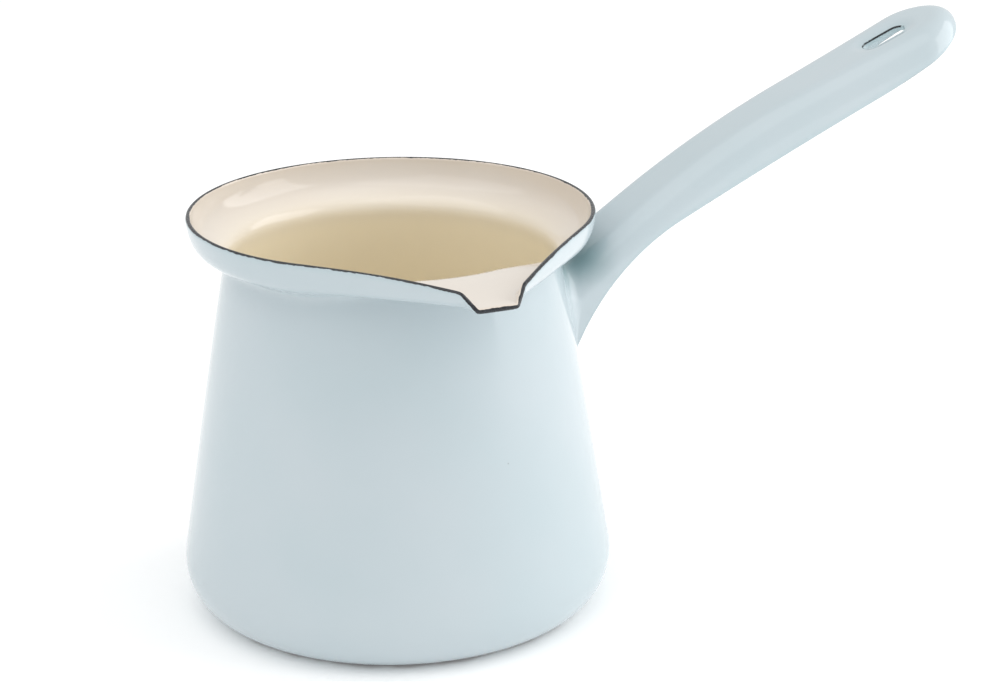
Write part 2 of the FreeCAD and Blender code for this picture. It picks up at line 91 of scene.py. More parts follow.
# %% Curves
class Lath:
    """A smooth curve that starts and ends at its first and last control points."""

    def __init__(self, controls):
        self.controls = controls
        self.spans = len(controls) - 3
        self.knots = [0] * 4 + list(range(1, self.spans)) + [self.spans] * 4

    def at(self, place):
        """Point at a place from 0 to 1, by repeated blending between neighbours."""
        place = place * self.spans
        span = min(int(place), self.spans - 1) + 3
        near = [self.controls[span - 3 + step].copy() for step in range(4)]
        for level in (1, 2, 3):
            for step in range(3, level - 1, -1):
                low = self.knots[span - 3 + step]
                high = self.knots[span + step + 1 - level]
                near[step] = near[step - 1].lerp(near[step], (place - low) / (high - low))
        return near[3]

    def even_points(self, count, short_by=0.0):
        """Points at even distances, up to short_by before the end."""
        fine = 20 * self.spans
        points = [self.at(step / fine) for step in range(fine + 1)]
        reached = [0.0]
        for before, after in zip(points, points[1:]):
            reached.append(reached[-1] + (after - before).length)
        even, spot = [], 0
        for step in range(count):
            goal = (reached[-1] - short_by) * step / (count - 1)
            while spot < fine - 1 and reached[spot + 1] < goal:
                spot += 1
            share = (goal - reached[spot]) / (reached[spot + 1] - reached[spot])
            even.append(self.at((spot + share) / fine))
        return even


def ease(share):
    """From 0 to 1 with a gentle start and a gentle end."""
    share = min(max(share, 0.0), 1.0)
    return share * share * (3 - 2 * share)


# %% [markdown]
# ## The pot's outline
#
# The wall is almost a cone, with a bow of less than half a millimetre that the press
# leaves. At the top it pinches into a neck, turns out into a flange and up into a rim.
# On one side the rim is pushed out into a lip: its edge leaves the circle along a
# tangent, drops a little, and crosses a narrow flat end.


# %% The wall and the edge of the rim
def wall_radius(height):
    share = height / NECK_Z
    return FOOT_RADIUS - (FOOT_RADIUS - NECK_RADIUS) * share + WALL_BOW * 4 * share * (1 - share)


def rim_edge(circle_steps, lip_steps):
    """Points round the rim from the middle of the back, and the angle where the lip starts."""
    reach = math.hypot(LIP_SHOULDER.x, LIP_SHOULDER.y)
    leave = math.atan2(LIP_SHOULDER.x, -LIP_SHOULDER.y) + math.acos(RIM_RADIUS / reach)
    start = Vector((math.sin(leave) * RIM_RADIUS, -math.cos(leave) * RIM_RADIUS, RIM_Z))
    flat = Vector((LIP_SHOULDER.x - start.x, LIP_SHOULDER.y - start.y, 0))
    side = [start]
    for share, drop in ((0.25, 0.0), (0.5, 0.1), (0.75, 0.45)):
        side.append(start + flat * share - Vector((0, 0, (RIM_Z - LIP_SHOULDER.z) * drop)))
    end = Vector((0, LIP_CORNER.y, LIP_CORNER.z))
    for before, corner, after in ((side[-1], LIP_SHOULDER, LIP_CORNER), (LIP_SHOULDER, LIP_CORNER, end)):
        side.append(corner + (before - corner).normalized() * LIP_BEND)
        side.append(corner)
        side.append(corner + (after - corner).normalized() * LIP_BEND)
    other = [Vector((-point.x, point.y, point.z)) for point in reversed(side)]
    lip = Lath(side + [end] + other).even_points(lip_steps)
    circle = []
    for step in range(circle_steps):
        angle = math.pi + (leave - math.pi) * step / circle_steps
        circle.append(Vector((RIM_RADIUS * math.sin(angle), -RIM_RADIUS * math.cos(angle), RIM_Z)))
    other = [Vector((-point.x, point.y, point.z)) for point in reversed(circle[1:])]
    return circle + lip + other, leave


RIM, LEAVE_ANGLE = rim_edge(circle_steps=64, lip_steps=181)
AROUND = len(RIM)
print(AROUND, "columns round the pot; the lip starts", round(math.degrees(LEAVE_ANGLE), 1),
      "degrees from its middle")

# %% [markdown]
# ## One column of the pot
#
# A column climbs from the flat base round the bottom corner, up the wall, over the neck
# and out along the flange to its point of the rim. Towards the lip the neck's bend rises
# and softens until the flange runs level into the trough.

# %% Columns of the outside
CORNER_ROWS, WALL_ROWS, FLARE_ROWS = 12, 18, 30
# how far the neck's bend reaches, and where the flange straightens: plain, and what the lip adds
NECK_SOFT, LIP_SOFT = 3.0, 1.5
FLANGE_STRAIGHT, LIP_STRAIGHT = 0.15, 0.45


def column(rim_point):
    """Points up the outside, to where the rim's roll starts."""
    reach = math.hypot(rim_point.x, rim_point.y)
    out = Vector((rim_point.x / reach, rim_point.y / reach, 0))
    angle = math.acos(min(max(-out.y, -1.0), 1.0))
    lipward = ease((LEAVE_ANGLE + LIP_SPREAD - angle) / (LEAVE_ANGLE + LIP_SPREAD - LIP_CORE))
    neck_z = NECK_Z + (FLANGE_Z - NECK_Z) * lipward
    softness = NECK_SOFT + LIP_SOFT * lipward
    lean = UPTURN_LEAN + LIP_LEAN * (RIM_Z - rim_point.z) / (RIM_Z - FLANGE_Z)

    def on_wall(height):
        return out * wall_radius(height) + Vector((0, 0, height))

    points = []
    for step in range(CORNER_ROWS):
        turn = math.pi / 2 * step / CORNER_ROWS
        height = CORNER_RISE * (1 - math.cos(turn))
        inside = CORNER_REACH * (1 - math.sin(turn))
        points.append(out * (wall_radius(height) - inside) + Vector((0, 0, height)))
    for step in range(WALL_ROWS):
        points.append(on_wall(CORNER_RISE + (WALL_TOP_Z - CORNER_RISE) * step / WALL_ROWS))
    neck = on_wall(neck_z)
    knee = out * (reach - lean) + Vector((0, 0, FLANGE_Z))
    past_neck = neck + (knee - neck).normalized() * softness
    before_knee = past_neck.lerp(knee, FLANGE_STRAIGHT + LIP_STRAIGHT * lipward)
    wall_end = WALL_TOP_Z + (NECK_Z - NECK_SOFT - WALL_TOP_Z) / 2
    controls = [on_wall(WALL_TOP_Z), on_wall(wall_end), on_wall(neck_z - softness)]
    controls += [neck, past_neck, before_knee, knee, rim_point]
    return points + Lath(controls).even_points(FLARE_ROWS + 1, short_by=ROLL)


OUTSIDE = [list(ring) for ring in zip(*[column(point) for point in RIM])]
print(len(OUTSIDE), "rings up the outside")

# %% [markdown]
# ## Skins
#
# Each coat is the space between two skins. A deeper skin is the outside moved inward
# along its normals. A Solidify modifier does this too, but then the coats could not
# share their edges. The normals are averaged with their neighbours a few times first,
# so that the small bends of the lip stay round when the skin moves inward.


# %% Normals of the outside
SOFTENINGS = 4


def inward_normals(rings):
    normals = []
    for row, ring in enumerate(rings):
        above, below = rings[min(row + 1, len(rings) - 1)], rings[max(row - 1, 0)]
        line = []
        for index in range(AROUND):
            along = ring[(index + 1) % AROUND] - ring[index - 1]
            line.append(along.cross(above[index] - below[index]).normalized())
        for _ in range(SOFTENINGS):
            line = [(line[index - 1] + 2 * line[index] + line[(index + 1) % AROUND]).normalized()
                    for index in range(AROUND)]
        normals.append(line)
    normals[0] = [Vector((0, 0, 1))] * AROUND
    return normals


NORMALS = inward_normals(OUTSIDE)
wall_lean = math.degrees(math.asin(-NORMALS[CORNER_ROWS + 5][0].z))
print("the wall's normal leans", round(wall_lean, 1), "degrees")


# %% Skins and the roll of the rim
def skin(depth):
    """Rings of the outside moved inward by depth."""
    return [[point + normal * depth for point, normal in zip(ring, normals)]
            for ring, normals in zip(OUTSIDE, NORMALS)]


def roll_ring(radius, turn):
    """Ring on the round edge of the rim. Turn 0 is its outer side, a half turn its inner."""
    ring = []
    for point, before, normal in zip(OUTSIDE[-1], OUTSIDE[-2], NORMALS[-1]):
        up = (point - before).normalized()
        centre = point + normal * ROLL
        ring.append(centre - normal * radius * math.cos(turn) + up * radius * math.sin(turn))
    return ring


ROLL_STEPS = 6


def roll(radius, start, end):
    return [roll_ring(radius, start + (end - start) * step / ROLL_STEPS) for step in range(ROLL_STEPS + 1)]


# %% [markdown]
# ## From rings to a mesh
#
# Rings that follow one another are bridged with quads, and bridging the last to the
# first closes the coat into a solid piece of glass. Each point also stores how far it
# is from the bare edge, in millimetres: the finishes use that number to let the dark
# ground coat creep out from under the colour, as it does on a real rim.


# %% Mesh maker
def store_ways(mesh, ways):
    """Keeps each point's way from the bare edge with the mesh."""
    mesh.attributes.new("from_edge", "FLOAT", "POINT").data.foreach_set("value", ways)


def make_piece(name, rings, ways):
    """Bridges rings of points into a closed mesh. ways gives each point its way from the bare edge."""
    count = len(rings[0])
    points = [point * MM for ring in rings for point in ring]
    faces = []
    for row in range(len(rings)):
        low, high = row * count, (row + 1) % len(rings) * count
        for index in range(count):
            after = (index + 1) % count
            faces.append((low + index, low + after, high + after, high + index))
    mesh = bpy.data.meshes.new(name)
    mesh.from_pydata(points, [], faces)
    store_ways(mesh, [way for ring in ways for way in ring])
    return finish_piece(name, mesh)


def finish_piece(name, mesh):
    """Shades a mesh smooth but for its sharp edges, and puts it on the part's body."""
    mesh.validate()
    mesh.shade_smooth()
    mesh.set_sharp_from_angle(angle=math.radians(50))
    piece = bpy.data.objects.new(name, mesh)
    bpy.context.scene.collection.objects.link(piece)
    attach(piece, "root")
    print(name, len(mesh.polygons), "faces")
    return piece


def ways_from(rings, start):
    """How far each point of each ring is from the first ring, plus start, along the column."""
    ways = [[start] * len(rings[0])]
    for before, after in zip(rings, rings[1:]):
        ways.append([way + (b - a).length for way, a, b in zip(ways[-1], before, after)])
    return ways


# %% [markdown]
# ## The coats of the pot
#
# The blue coat runs from the flat of the base to the roll of the rim and stops just
# short of its crown. The cream one comes up the inside to meet it. Between them a strip
# of dark ground coat stays bare: that is the fine line that draws the whole rim.

# %% Blue coat of the pot
BARE_HALF = 0.38
CROWN = math.pi / 2
GAP = BARE_HALF / ROLL
front = skin(0)[:-1] + roll(ROLL, 0, CROWN - GAP)
back = skin(COAT)[:-1] + roll(ROLL - COAT, 0, CROWN - GAP)
blue_way = ways_from(front[::-1], BARE_HALF)[::-1]
blue_pot_coat = make_piece("blue_pot_coat", front + back[::-1], blue_way + blue_way[::-1])
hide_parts("pot_cover_coat")

# %% Cream coat of the pot
FLOOR_RINGS = 16
FLOOR_CENTRE = 0.005


def floor(edge_ring):
    """Rings across the flat floor, from a small ring at the centre to its edge."""
    made = []
    for step in range(FLOOR_RINGS - 1, 0, -1):
        share = 1 - step / FLOOR_RINGS * (1 - FLOOR_CENTRE)
        made.append([Vector((point.x * share, point.y * share, point.z)) for point in edge_ring])
    return made


def lining_skin(depth, radius):
    """Rings from the middle of the floor up the inside and over the rim's roll."""
    inside = skin(depth)
    return floor(inside[0]) + inside[:-1] + roll(radius, math.pi, CROWN + GAP)


cream_front = lining_skin(POT_WALL, ROLL)
cream_back = lining_skin(POT_WALL - COAT, ROLL - COAT)
cream_way = ways_from(cream_front[::-1], BARE_HALF)[::-1]
cream_pot_coat = make_piece("cream_pot_coat", cream_front + cream_back[::-1],
                            cream_way + cream_way[::-1])
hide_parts("pot_lining_coat")

# %% Bare ground coat round the rim
crown = roll(ROLL, CROWN - GAP, CROWN + GAP)
under = roll(ROLL - COAT, CROWN - GAP, CROWN + GAP)
MIDDLE_STEP = ROLL_STEPS / 2
crown_way = [[abs(step / MIDDLE_STEP - 1) * BARE_HALF] * AROUND for step in range(ROLL_STEPS + 1)]
bare_rim = make_piece("bare_rim", crown + under[::-1], crown_way + crown_way[::-1])
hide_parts("rim_ground_band")

# %% [markdown]
# ## The handle's lines
#
# The handle is a channel pressed from sheet. Seen from the side it has two long lines:
# the crest and the lower edges. Each is two straight runs joined by an arc, and the lower
# edges curl up a little at the tip. Seen from above it is slimmest where the hand holds
# it and ends in a round tip.

# %% Sizes of the handle
REACH = 157.5
CREST_START, CREST_CORNER_X = 79.4, 86.0
CREST_ROOT, CREST_TIP = math.radians(34.4), math.radians(22.6)
CREST_BEND = 250.0
FOOT_START, FOOT_CORNER_X = 55.4, 53.6
FOOT_RISE, EDGE_RISE = math.radians(65), math.radians(25.2)
EDGE_BEND = 62.0
CURL_RUN, CURL = 28.0, 3.5
WIDTHS = ((30.75, 13.5), (91.0, 11.25), (157.5, 15.0))
LONG_BEND = 6.8
HANDLE_WALL = 1.0 + 2 * COAT
TIP_START = 143.0
TIP_FLANK, TIP_NOSE = 0.5, 0.56
SLOT_HALF_LENGTH, SLOT_HALF_WIDTH = 6.2, 2.5
SLOT_X = REACH - 19.9
DISH_DEPTH, DISH_WIDTH = 0.8, 3.4


# %% The two lines of the side view
def bent_line(place, start_z, corner_x, first, second, bend):
    """Height of two straight runs joined by an arc that turns down."""
    leg = bend * math.tan((first - second) / 2)
    corner_z = start_z + (corner_x - NECK_RADIUS) * math.tan(first)
    arc_start = corner_x - leg * math.cos(first)
    arc_end = corner_x + leg * math.cos(second)
    if place <= arc_start:
        return corner_z - (corner_x - place) * math.tan(first)
    if place >= arc_end:
        return corner_z + (place - corner_x) * math.tan(second)
    centre_x = arc_start + bend * math.sin(first)
    centre_z = corner_z - leg * math.sin(first) - bend * math.cos(first)
    return centre_z + math.sqrt(bend * bend - (place - centre_x) ** 2)


def crest_z(place):
    return bent_line(place, CREST_START, CREST_CORNER_X, CREST_ROOT, CREST_TIP, CREST_BEND)


def edge_z(place):
    curl = CURL * (max(place - (REACH - CURL_RUN), 0) / CURL_RUN) ** 2
    return bent_line(place, FOOT_START, FOOT_CORNER_X, FOOT_RISE, EDGE_RISE, EDGE_BEND) + curl


def crest_cosine(place):
    rise = crest_z(place + 0.5) - crest_z(place - 0.5)
    return 1 / math.hypot(1, rise)


print("the handle climbs to", round(crest_z(REACH), 1), "mm before its rounding")


# %% The plan view
def circle_through(a, b, c):
    """Centre and radius of the circle through three points of the plan."""
    middle_x, middle_y = (a[0] + b[0]) / 2, (a[1] + b[1]) / 2
    next_x, next_y = (b[0] + c[0]) / 2, (b[1] + c[1]) / 2
    first, second = (b[0] - a[0], b[1] - a[1]), (c[0] - b[0], c[1] - b[1])
    first_sum = first[0] * middle_x + first[1] * middle_y
    second_sum = second[0] * next_x + second[1] * next_y
    spread = first[0] * second[1] - first[1] * second[0]
    centre_x = (first_sum * second[1] - second_sum * first[1]) / spread
    centre_y = (first[0] * second_sum - second[0] * first_sum) / spread
    return centre_x, centre_y, math.hypot(a[0] - centre_x, a[1] - centre_y)


WAIST_X, WAIST_Y, WAIST_BEND = circle_through(*WIDTHS)


def half_width(place):
    return WAIST_Y - math.sqrt(WAIST_BEND ** 2 - (place - WAIST_X) ** 2)


TIP_LENGTH = 22.0
TIP_END = TIP_START + TIP_LENGTH


def outline(place):
    """Point and outward normal of the plan. Past TIP_START, place goes round the tip."""
    if place <= TIP_START:
        slope = half_width(place + 0.5) - half_width(place - 0.5)
        return Vector((place, half_width(place), 0)), Vector((-slope, 1, 0)).normalized()
    share = (place - TIP_START) / TIP_LENGTH
    slope = half_width(TIP_START) - half_width(TIP_START - 1)
    width, length = half_width(TIP_START), REACH - TIP_START
    first = Vector((TIP_START, width, 0))
    second = first + Vector((1, slope, 0)) * length * TIP_FLANK
    last = Vector((REACH, 0, 0))
    third = last + Vector((0, width * TIP_NOSE, 0))
    rest = 1 - share
    point = first * rest ** 3 + last * share ** 3 + (second * rest + third * share) * 3 * rest * share
    run = (second - first) * rest ** 2 + (third - second) * 2 * rest * share + (last - third) * share ** 2
    return point, Vector((-run.y, run.x, 0)).normalized()


print("the waist is", round(2 * half_width(WAIST_X), 1), "mm wide and the tip",
      round(2 * half_width(TIP_START), 1), "mm")

# %% [markdown]
# ## The hanging slot
#
# The slot is punched through the crest near the tip, and the punch leaves a shallow dish
# round it. A Boolean modifier could cut it, but it would leave long thin faces that a
# gloss finish shows at once. Instead the grid's own lines end on the slot: beside it they
# run from the edge of the handle to the edge of the slot, like threads round a buttonhole.

# %% The slot
SLOT_TILT = CREST_TIP
QUARTER = math.pi / 2 * (SLOT_HALF_WIDTH + COAT)
STRAIGHT = 2 * (SLOT_HALF_LENGTH - SLOT_HALF_WIDTH)
SLOT_START = SLOT_X - (SLOT_HALF_LENGTH + COAT) * math.cos(SLOT_TILT)
NEAR_SLOT_X = SLOT_START - 9.0


def slot_edge(place, grow):
    """Point of the slot's edge that faces a place of the outline, grown by grow."""
    if place <= TIP_START:
        way = (place - SLOT_START) / (TIP_START - SLOT_START) * (QUARTER + STRAIGHT)
    else:
        way = QUARTER + STRAIGHT + (place - TIP_START) / TIP_LENGTH * QUARTER
    radius = SLOT_HALF_WIDTH + grow
    if way <= QUARTER:
        turn = way / QUARTER * math.pi / 2
        along, across = -STRAIGHT / 2 - radius * math.cos(turn), radius * math.sin(turn)
    elif way <= QUARTER + STRAIGHT:
        along, across = -STRAIGHT / 2 + (way - QUARTER), radius
    else:
        turn = (way - QUARTER - STRAIGHT) / QUARTER * math.pi / 2
        along, across = STRAIGHT / 2 + radius * math.sin(turn), radius * math.cos(turn)
    return Vector((SLOT_X + along * math.cos(SLOT_TILT), across, 0))


def way_from_slot(point):
    """How far a point of the plan lies outside the slot."""
    along = abs((point.x - SLOT_X) / math.cos(SLOT_TILT)) - STRAIGHT / 2
    return math.hypot(max(along, 0), point.y) - SLOT_HALF_WIDTH


def top_z(point, depth):
    """Height of the handle's top at a point of the plan, dish included."""
    dish = DISH_DEPTH * (1 - ease(way_from_slot(point) / DISH_WIDTH)) if point.x > NEAR_SLOT_X else 0
    return crest_z(point.x) - depth / crest_cosine(point.x) - dish


# %% [markdown]
# ## Sections of the handle
#
# A section starts at the lower edge, climbs the side, rounds the long bend and crosses
# the top to the middle line or to the slot. Where the handle is shallow the lower edge
# lies on the bend itself, so the rows are shared out along whatever length there is.

# %% Sections
SIDE_ROWS, TOP_ROWS = 20, 7
ROWS = SIDE_ROWS + TOP_ROWS


def section_point(place, row, depth):
    """Point of one row of the section that stands at a place of the outline."""
    start, normal = outline(place)
    bend = LONG_BEND - depth
    if row <= SIDE_ROWS:
        tall = bend / crest_cosine(start.x)
        inner = start - normal * LONG_BEND
        room = crest_z(start.x) - depth / crest_cosine(start.x) - edge_z(start.x) - COAT
        side = max(room - tall, 0.0)
        first_turn = 0.0 if room >= tall else math.asin(max(1 - room / tall, 0.0))
        curved = (bend + tall) / 2 * (math.pi / 2 - first_turn)
        way = (side + curved) * row / SIDE_ROWS
        if way < side:
            point = start - normal * depth
            return Vector((point.x, point.y, edge_z(point.x) + COAT + way))
        turn = first_turn + (way - side) / curved * (math.pi / 2 - first_turn)
        point = inner + normal * bend * math.cos(turn)
        return Vector((point.x, point.y, top_z(point, depth) - tall * (1 - math.sin(turn))))
    share = (row - SIDE_ROWS) / TOP_ROWS
    inner = start - normal * LONG_BEND
    if place <= SLOT_START:
        goal = Vector((start.x, 0, 0))
    else:
        goal = slot_edge(place, COAT) + Vector((depth * math.sin(SLOT_TILT), 0, 0))
    point = inner.lerp(goal, share)
    point.z = top_z(point, depth)
    return point


# %% [markdown]
# ## Where the handle meets the wall
#
# The channel is welded to the wall, and the enamel fills the corner of the joint with a
# smooth cove. Each row of the grid is followed down until it reaches the wall. There it
# turns through a curve onto the wall itself, so the root flows into the pot. The cove
# is widest on the crown and flanks and thins out towards the feet.

# %% The root
COVE_STEPS, ROOT_STEPS = 8, 8
ROOT_START, ROOT_END = 25.0, 62.0
SINK = 0.04
HALVINGS = 40
FOOT_COVE, FULL_COVE_ROW = 0.2, 0.45 * SIDE_ROWS


def wall_place(row, depth):
    """Place where a row of the handle reaches the wall, by halving the gap."""
    low, high = ROOT_START, ROOT_END
    for _ in range(HALVINGS):
        middle = (low + high) / 2
        point = section_point(middle, row, depth)
        if math.hypot(point.x, point.y) < wall_radius(point.z):
            low = middle
        else:
            high = middle
    return high


def root_lines(row, depth):
    """How a row meets the wall: the place, the point, the way along the handle and both normals."""
    contact = wall_place(row, depth)
    on_wall = section_point(contact, row, depth)
    along = (section_point(contact + 0.5, row, depth) - on_wall).normalized()
    row_above, row_below = min(row + 1, ROWS), max(row - 1, 0)
    across = section_point(contact, row_above, depth) - section_point(contact, row_below, depth)
    outward = across.cross(along).normalized()
    wall_normal = Vector((on_wall.x, on_wall.y, 0)).normalized()
    wall_normal.z = (FOOT_RADIUS - NECK_RADIUS) / NECK_Z
    return contact, on_wall, along, outward, wall_normal.normalized()


def up_the_wall(outward, wall_normal):
    """Way on the wall that leads away from the handle."""
    return (outward - wall_normal * outward.dot(wall_normal)).normalized()


def cove_leg(row, cove):
    """The cove is full along the crest and fades towards the feet."""
    return abs(cove) * (FOOT_COVE + (1 - FOOT_COVE) * ease(row / FULL_COVE_ROW))


def root_row(row, depth, cove):
    """Points of one row from the wall to ROOT_END, with a cove of that leg, inward if negative."""
    contact, on_wall, along, outward, wall_normal = root_lines(row, depth)
    leg = cove_leg(row, cove)
    begin = contact + (leg * along.x if cove else 1.0)
    rise = section_point(begin, row, depth)
    foot = on_wall + up_the_wall(outward, wall_normal) * math.copysign(leg, cove)
    radius = math.hypot(foot.x, foot.y)
    hold = (wall_radius(foot.z) - SINK) / radius
    foot = Vector((foot.x * hold, foot.y * hold, foot.z))
    points = []
    for step in range(COVE_STEPS):
        share = step / COVE_STEPS
        points.append(foot.lerp(on_wall, share).lerp(on_wall.lerp(rise, share), share))
    for step in range(ROOT_STEPS):
        points.append(section_point(begin + (ROOT_END - begin) * step / ROOT_STEPS, row, depth))
    return points


# %% A skin of the handle
def stations():
    """Places along the outline past the root, closer together beside the slot."""
    places = []
    stretches = ((ROOT_END, SLOT_START, 1.7), (SLOT_START, TIP_START, 0.6), (TIP_START, TIP_END, 0.7))
    for low, high, gap in stretches:
        steps = round((high - low) / gap)
        places += [low + (high - low) * step / steps for step in range(steps)]
    return places + [TIP_END]


PLACES = stations()
SLOT_COLUMN = COVE_STEPS + ROOT_STEPS + PLACES.index(SLOT_START)


def handle_skin(depth, cove=0.0):
    """Half of the handle as columns: first the root, then the stations to the middle of the tip."""
    rows = []
    for row in range(ROWS + 1):
        rows.append(root_row(row, depth, cove) + [section_point(place, row, depth) for place in PLACES])
    return [list(line) for line in zip(*rows)]


print(SLOT_COLUMN, "columns to the slot,", COVE_STEPS + ROOT_STEPS + len(PLACES), "in all")

# %% [markdown]
# ## Sheets with an edge
#
# A coat of the handle has a front and a back and is closed along the lower edges, round
# the slot and at the root. One half is built, its mirror image is added, and the points
# on the middle line are merged, so that the two halves shade as one.


# %% Half a sheet and its mirror image
def mirrored_piece(name, points, faces, ways):
    """Mesh of one half and its mirror image, joined along the middle line."""
    mesh = bpy.data.meshes.new(name)
    count = len(points)
    both = [point * MM for point in points]
    both += [Vector((point.x, -point.y, point.z)) * MM for point in points]
    flipped = [tuple(index + count for index in reversed(face)) for face in faces]
    mesh.from_pydata(both, [], faces + flipped)
    store_ways(mesh, ways + ways)
    made = bmesh.new()
    made.from_mesh(mesh)
    bmesh.ops.remove_doubles(made, verts=made.verts, dist=0.002 * MM)
    bmesh.ops.dissolve_degenerate(made, edges=made.edges, dist=0.001 * MM)
    bmesh.ops.recalc_face_normals(made, faces=made.faces)
    made.to_mesh(mesh)
    made.free()
    return finish_piece(name, mesh)


FAR_FROM_EDGE = 99.0


def edge_way(point):
    """Way from the nearest bare edge, the lower one or the slot's."""
    to_slot = max(way_from_slot(point), 0.0) if point.x > NEAR_SLOT_X else FAR_FROM_EDGE
    return min(point.z - edge_z(point.x), to_slot)


def handle_coat(name, front, back):
    """Sheet between two skins of the handle."""
    columns, count = len(front), ROWS + 1
    points = [point for line in front for point in line] + [point for line in back for point in line]
    ways = [edge_way(point) for point in points]
    behind = columns * count
    faces = []
    for col in range(columns - 1):
        for row in range(ROWS):
            a, b = col * count + row, (col + 1) * count + row
            faces.append((a, b, b + 1, a + 1))
            faces.append((behind + a + 1, behind + b + 1, behind + b, behind + a))
        a, b = col * count, (col + 1) * count
        faces.append((a, behind + a, behind + b, b))
        if col >= SLOT_COLUMN:
            a, b = a + ROWS, b + ROWS
            faces.append((a, b, behind + b, behind + a))
    for row in range(ROWS):
        faces.append((row, row + 1, behind + row + 1, behind + row))
    return mirrored_piece(name, points, faces, ways)


# %% The handle's coats and its steel
COVE, INSIDE_COVE = 6.0, -1.8
outer = handle_skin(0.0, COVE)
outer_back = handle_skin(COAT)
inner_back = handle_skin(HANDLE_WALL - COAT)
inner = handle_skin(HANDLE_WALL, INSIDE_COVE)
blue_handle_coat = handle_coat("blue_handle_coat", outer, outer_back)
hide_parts("handle_cover_coat")
blue_channel_coat = handle_coat("blue_channel_coat", inner, inner_back)
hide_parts("handle_lining_coat")
handle_pressing = handle_coat("handle_pressing", outer_back, inner_back)
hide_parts("handle_channel")


# %% The weld under the cove
BEAD_DEPTH, BEAD_SHARE = 0.35, 0.25


def weld_bead():
    """Three-sided bead along the root, well under the cove, so that the coat hides it."""
    points = []
    for row in range(ROWS + 1):
        _, on_wall, along, outward, wall_normal = root_lines(row, 0.0)
        leg = cove_leg(row, COVE) * BEAD_SHARE
        in_wall, in_sheet = wall_normal * BEAD_DEPTH, outward * BEAD_DEPTH
        points.append(on_wall - in_wall - in_sheet)
        points.append(on_wall - in_wall + up_the_wall(outward, wall_normal) * leg)
        points.append(on_wall - in_sheet + along * leg)
    faces = [(0, 2, 1)]
    for row in range(ROWS):
        for side in range(3):
            a, b = row * 3 + side, row * 3 + (side + 1) % 3
            faces.append((a, b, b + 3, a + 3))
    return mirrored_piece("weld_bead", points, faces, [FAR_FROM_EDGE] * len(points))


bead = weld_bead()
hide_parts("root_weld")

# %% [markdown]
# ## Bare edges of the handle
#
# Enamel draws back from a sharp edge while it melts, and leaves the ground coat thinly
# covered there. The two edge pieces follow the lower edge and the slot with a small
# round section, so that they catch a line of light as the real ones do.


# %% Edge strips
def strip(name, loops, node, ways):
    """Bridges loops of points, one loop to each column, into a rounded strip."""
    size = len(loops[0])
    points = [point for loop in loops for point in loop]
    faces = []
    for col in range(len(loops) - 1):
        for step in range(size):
            a, b = col * size + step, col * size + (step + 1) % size
            faces.append((a, a + size, b + size, b))
    piece = mirrored_piece(name, points, faces, ways * len(loops))
    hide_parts(node)
    return piece


EDGE_STEPS = 6


def lower_edge_loop(outside, inside):
    """Section of the lower edge between the outer and the inner skin."""
    down = Vector((0, 0, -COAT))
    loop = []
    for step in range(EDGE_STEPS + 1):
        turn = math.pi * step / EDGE_STEPS
        loop.append(outside.lerp(inside, (1 - math.cos(turn)) / 2) + down * math.sin(turn))
    return loop


# the section of the slot's edge: how far into the sheet each point lies, and how deep
SLOT_SECTION = ((0.25, 0.0), (0.09, 0.06), (0.0, 0.3), (0.0, 1.2), (0.09, 1.44), (0.25, 1.5))


def slot_edge_loop(place):
    """Section of the slot's edge, from the top of the sheet round to its underside."""
    loop = []
    for grow, depth in SLOT_SECTION:
        point = slot_edge(place, grow) + Vector((depth * math.sin(SLOT_TILT), 0, 0))
        point.z = top_z(point, depth)
        loop.append(point)
    return loop


bare_handle_edge = strip("bare_handle_edge", [lower_edge_loop(a[0], b[0]) for a, b in zip(outer, inner)],
                         "handle_ground_edge", [0.0] * (EDGE_STEPS + 1))
slot_places = [place for place in PLACES if place >= SLOT_START]
bare_slot_edge = strip("bare_slot_edge", [slot_edge_loop(place) for place in slot_places],
                       "slot_ground_edge", [depth for grow, depth in SLOT_SECTION])

# %% [markdown]
# ## Colours and nodes
#
# Colours are written as sRGB hex values, as a paint maker lists them. Blender works in
# linear light, so one function converts them. One more adds a node to a material with
# its settings and links. The short ones after it build on it for the nodes that return in every
# finish, which keeps each finish readable as a recipe.


# %% Helpers for finishes
def colour(hex_code):
    """Linear colour of an sRGB hex value."""
    linear = []
    for start in (0, 2, 4):
        value = int(hex_code[start:start + 2], 16) / 255
        linear.append(value / 12.92 if value <= 0.04045 else ((value + 0.055) / 1.055) ** 2.4)
    return (*linear, 1.0)


def add(tree, kind, links=None, **settings):
    """Adds a node. links gives inputs by name or number: another node's output, or a value."""
    node = tree.nodes.new(kind)
    for key, value in settings.items():
        setattr(node, key, value)
    for socket, source in (links or {}).items():
        if isinstance(source, bpy.types.NodeSocket):
            tree.links.new(source, node.inputs[socket])
        else:
            node.inputs[socket].default_value = source
    return node


def per_mm(size):
    """Scale of a pattern whose features are size millimetres across."""
    return 1000 / size


def noise(tree, place, size, detail):
    """Cloudy pattern from 0 to 1, whose features are size millimetres across."""
    links = {"Vector": place, "Scale": per_mm(size), "Detail": detail}
    return add(tree, "ShaderNodeTexNoise", links).outputs[0]


def ramp(tree, value, low, high, start=0.0, end=1.0, shape="SMOOTHSTEP"):
    """From start to end while value goes from low to high, and held outside that."""
    return add(tree, "ShaderNodeMapRange", {0: value, 1: low, 2: high, 3: start, 4: end},
               interpolation_type=shape).outputs[0]


def reckon(tree, operation, *values):
    return add(tree, "ShaderNodeMath", dict(enumerate(values)), operation=operation).outputs[0]


def blend(tree, share, first, second):
    """Mix of two colours, each a hex value or another node's output."""
    first, second = (colour(one) if isinstance(one, str) else one for one in (first, second))
    return add(tree, "ShaderNodeMix", {0: share, 6: first, 7: second}, data_type="RGBA").outputs[2]


